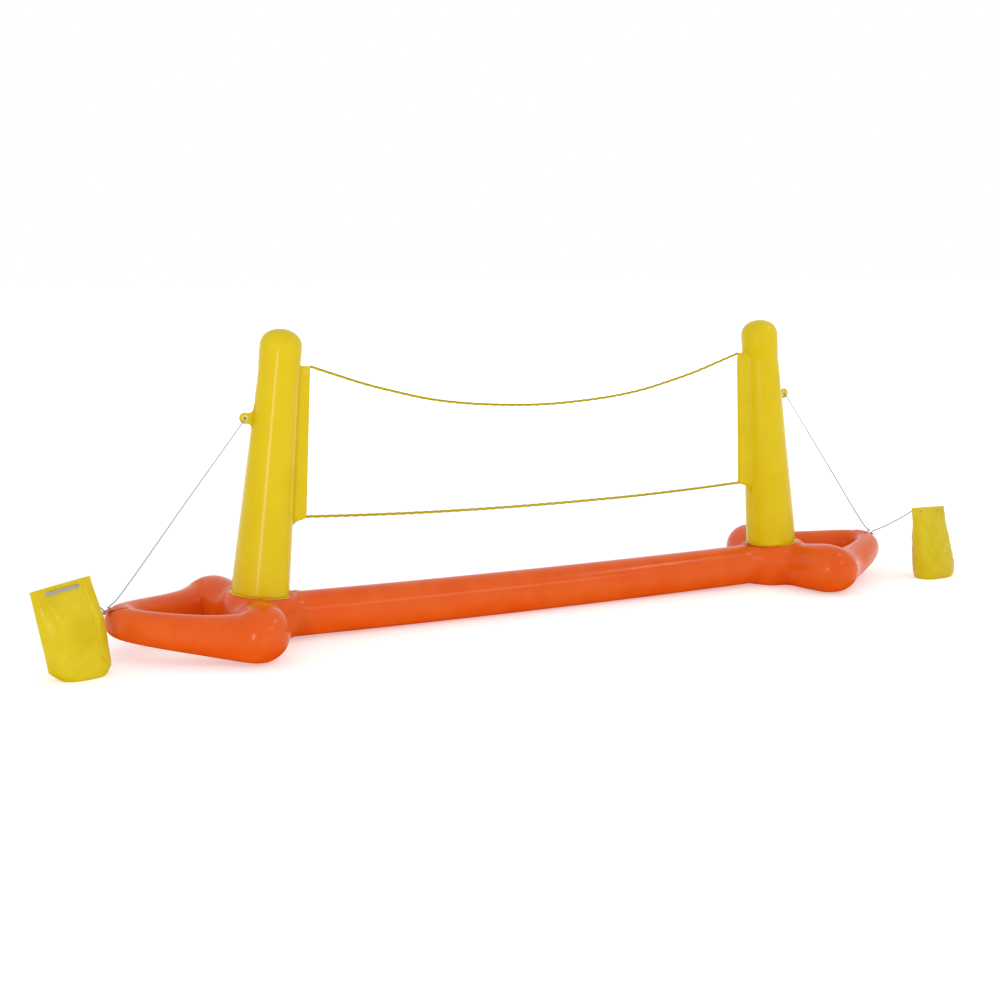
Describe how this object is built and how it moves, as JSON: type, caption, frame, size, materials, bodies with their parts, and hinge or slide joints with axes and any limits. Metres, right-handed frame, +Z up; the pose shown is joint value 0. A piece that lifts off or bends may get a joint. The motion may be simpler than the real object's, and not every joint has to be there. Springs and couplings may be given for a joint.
{
  "type": "inflatable volleyball net float",
  "caption": "Inflatable pool volleyball float with looped ends, two leaning poles joined by upper and lower net cords, guy cords and tethered weight bags.",
  "frame": {"origin": "on the floor under the middle of the tube that joins the two rings", "axes": "+X along the float towards the right ring, +Y towards the rear, away from the side on which the bags lie, +Z up"},
  "size_m": [2.8343, 0.5448, 0.8054],
  "materials": {
    "orange_vinyl": "gloss",
    "yellow_vinyl": "gloss",
    "bag_vinyl": "gloss",
    "clear_vinyl": "gloss",
    "yellow_cord": "matte",
    "white_cord": "matte"
  },
  "bodies": {
    "float": {"base_beam": "orange_vinyl", "left_float_ring": "orange_vinyl", "right_float_ring": "orange_vinyl", "left_pole_boot": "orange_vinyl", "right_pole_boot": "orange_vinyl", "left_pole_weld_flange": "clear_vinyl", "right_pole_weld_flange": "clear_vinyl", "left_pole": "yellow_vinyl", "right_pole": "yellow_vinyl", "left_net_sleeve": "yellow_vinyl", "right_net_sleeve": "yellow_vinyl", "left_guy_tab": "yellow_vinyl", "right_guy_tab": "yellow_vinyl", "left_guy_eyelet": "clear_vinyl", "right_guy_eyelet": "clear_vinyl", "left_anchor_tab": "orange_vinyl", "right_anchor_tab": "orange_vinyl", "upper_net_cord": "yellow_cord", "lower_net_cord": "yellow_cord", "left_guy_cord": "white_cord", "right_guy_cord": "white_cord", "left_guy_knots": "white_cord", "right_guy_knots": "white_cord", "base_valve_stem": "clear_vinyl", "left_pole_valve_stem": "clear_vinyl", "right_pole_valve_stem": "clear_vinyl"},
    "left_weight_bag": {"left_bag": "bag_vinyl", "left_bag_lacing": "white_cord", "left_tether": "white_cord", "left_tether_knots": "white_cord"},
    "right_weight_bag": {"right_bag": "bag_vinyl", "right_bag_lacing": "white_cord", "right_tether": "white_cord", "right_tether_knots": "white_cord"},
    "base_plug": {"base_valve_plug": "clear_vinyl"},
    "left_pole_plug": {"left_pole_valve_plug": "clear_vinyl"},
    "right_pole_plug": {"right_pole_valve_plug": "clear_vinyl"}
  },
  "joints": [
    {"name": "left_bag_swing", "type": "hinge", "parent": "float", "child": "left_weight_bag", "pos_m": [-1.22, 0, 0.118], "axis": [0, 0, 1], "range_deg": [-150, 35]},
    {"name": "right_bag_swing", "type": "hinge", "parent": "float", "child": "right_weight_bag", "pos_m": [1.22, 0, 0.118], "axis": [0, 0, 1], "range_deg": [-40, 150]},
    {"name": "base_plug_strap", "type": "hinge", "parent": "float", "child": "base_plug", "pos_m": [0.3682, 0.0695, 0.05988], "axis": [0, 0, 1], "range_deg": [0, 150]},
    {"name": "left_pole_plug_strap", "type": "hinge", "parent": "float", "child": "left_pole_plug", "pos_m": [-0.79801, 0.08175, 0.21909], "axis": [-0.108, 0, -0.9942], "range_deg": [0, 150]},
    {"name": "right_pole_plug_strap", "type": "hinge", "parent": "float", "child": "right_pole_plug", "pos_m": [0.79801, 0.08175, 0.21909], "axis": [-0.108, 0, 0.9942], "range_deg": [0, 150]}
  ]
}
